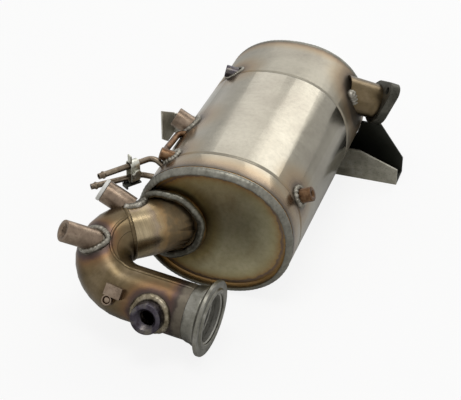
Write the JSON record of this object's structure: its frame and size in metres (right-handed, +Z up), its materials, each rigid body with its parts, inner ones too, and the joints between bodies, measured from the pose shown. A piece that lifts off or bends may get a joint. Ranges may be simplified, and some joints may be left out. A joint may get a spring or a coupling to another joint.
{
  "type": "diesel particulate filter",
  "caption": "Oval stainless diesel particulate filter with a curved inlet elbow, V-band flange, sensor bosses, pressure tubes, bolted outlet and side bracket.",
  "frame": {"origin": "middle of the underside of the bounding box", "axes": "+Y along the can from its inlet end to its outlet end, +Z up, +X towards the outlet and the side bracket"},
  "size_m": [0.2554, 0.4418, 0.1404],
  "materials": {
    "can_sensor_boss": "welded steel with heat tint",
    "can_shell": "rolled stainless sheet",
    "clamp_backing_plate": "dark raw steel",
    "clamp_bolt": "zinc plated",
    "elbow_back_half": "rolled stainless sheet",
    "elbow_clip": "welded steel with heat tint",
    "elbow_clip_pin": "welded steel with heat tint",
    "elbow_front_half": "rolled stainless sheet",
    "elbow_sensor_boss": "welded steel with heat tint",
    "filter_block": "porous ceramic honeycomb",
    "front_seal_ring": "dark raw steel",
    "inlet_end_plate": "rolled stainless sheet",
    "inlet_stub_pipe": "rolled stainless sheet",
    "lambda_boss": "welded steel with heat tint",
    "left_tab_bracket": "dark raw steel",
    "link_tube": "welded steel with heat tint",
    "lower_pressure_tube": "welded steel with heat tint",
    "outlet_end_plate": "rolled stainless sheet",
    "outlet_flange": "turned steel",
    "outlet_pipe": "welded steel with heat tint",
    "pressure_boss": "welded steel with heat tint",
    "rear_left_bung": "welded steel with heat tint",
    "rear_seal_ring": "dark raw steel",
    "right_pressure_boss": "welded steel with heat tint",
    "side_bracket": "dark raw steel",
    "stub_boss_plug": "matte plastic",
    "stub_sensor_boss": "welded steel with heat tint",
    "support_mat": "compressed ceramic fibre",
    "tube_clamp": "zinc plated",
    "upper_pressure_tube": "welded steel with heat tint",
    "vband_flange": "turned steel"
  },
  "bodies": {
    "root": {"can_sensor_boss": "can_sensor_boss", "can_shell": "can_shell", "clamp_backing_plate": "clamp_backing_plate", "clamp_bolt": "clamp_bolt", "elbow_back_half": "elbow_back_half", "elbow_clip": "elbow_clip", "elbow_clip_pin": "elbow_clip_pin", "elbow_front_half": "elbow_front_half", "elbow_sensor_boss": "elbow_sensor_boss", "filter_block": "filter_block", "front_seal_ring": "front_seal_ring", "inlet_end_plate": "inlet_end_plate", "inlet_stub_pipe": "inlet_stub_pipe", "lambda_boss": "lambda_boss", "left_tab_bracket": "left_tab_bracket", "link_tube": "link_tube", "lower_pressure_tube": "lower_pressure_tube", "outlet_end_plate": "outlet_end_plate", "outlet_flange": "outlet_flange", "outlet_pipe": "outlet_pipe", "pressure_boss": "pressure_boss", "rear_left_bung": "rear_left_bung", "rear_seal_ring": "rear_seal_ring", "right_pressure_boss": "right_pressure_boss", "side_bracket": "side_bracket", "stub_boss_plug": "stub_boss_plug", "stub_sensor_boss": "stub_sensor_boss", "support_mat": "support_mat", "tube_clamp": "tube_clamp", "upper_pressure_tube": "upper_pressure_tube", "vband_flange": "vband_flange"}
  },
  "joints": []
}
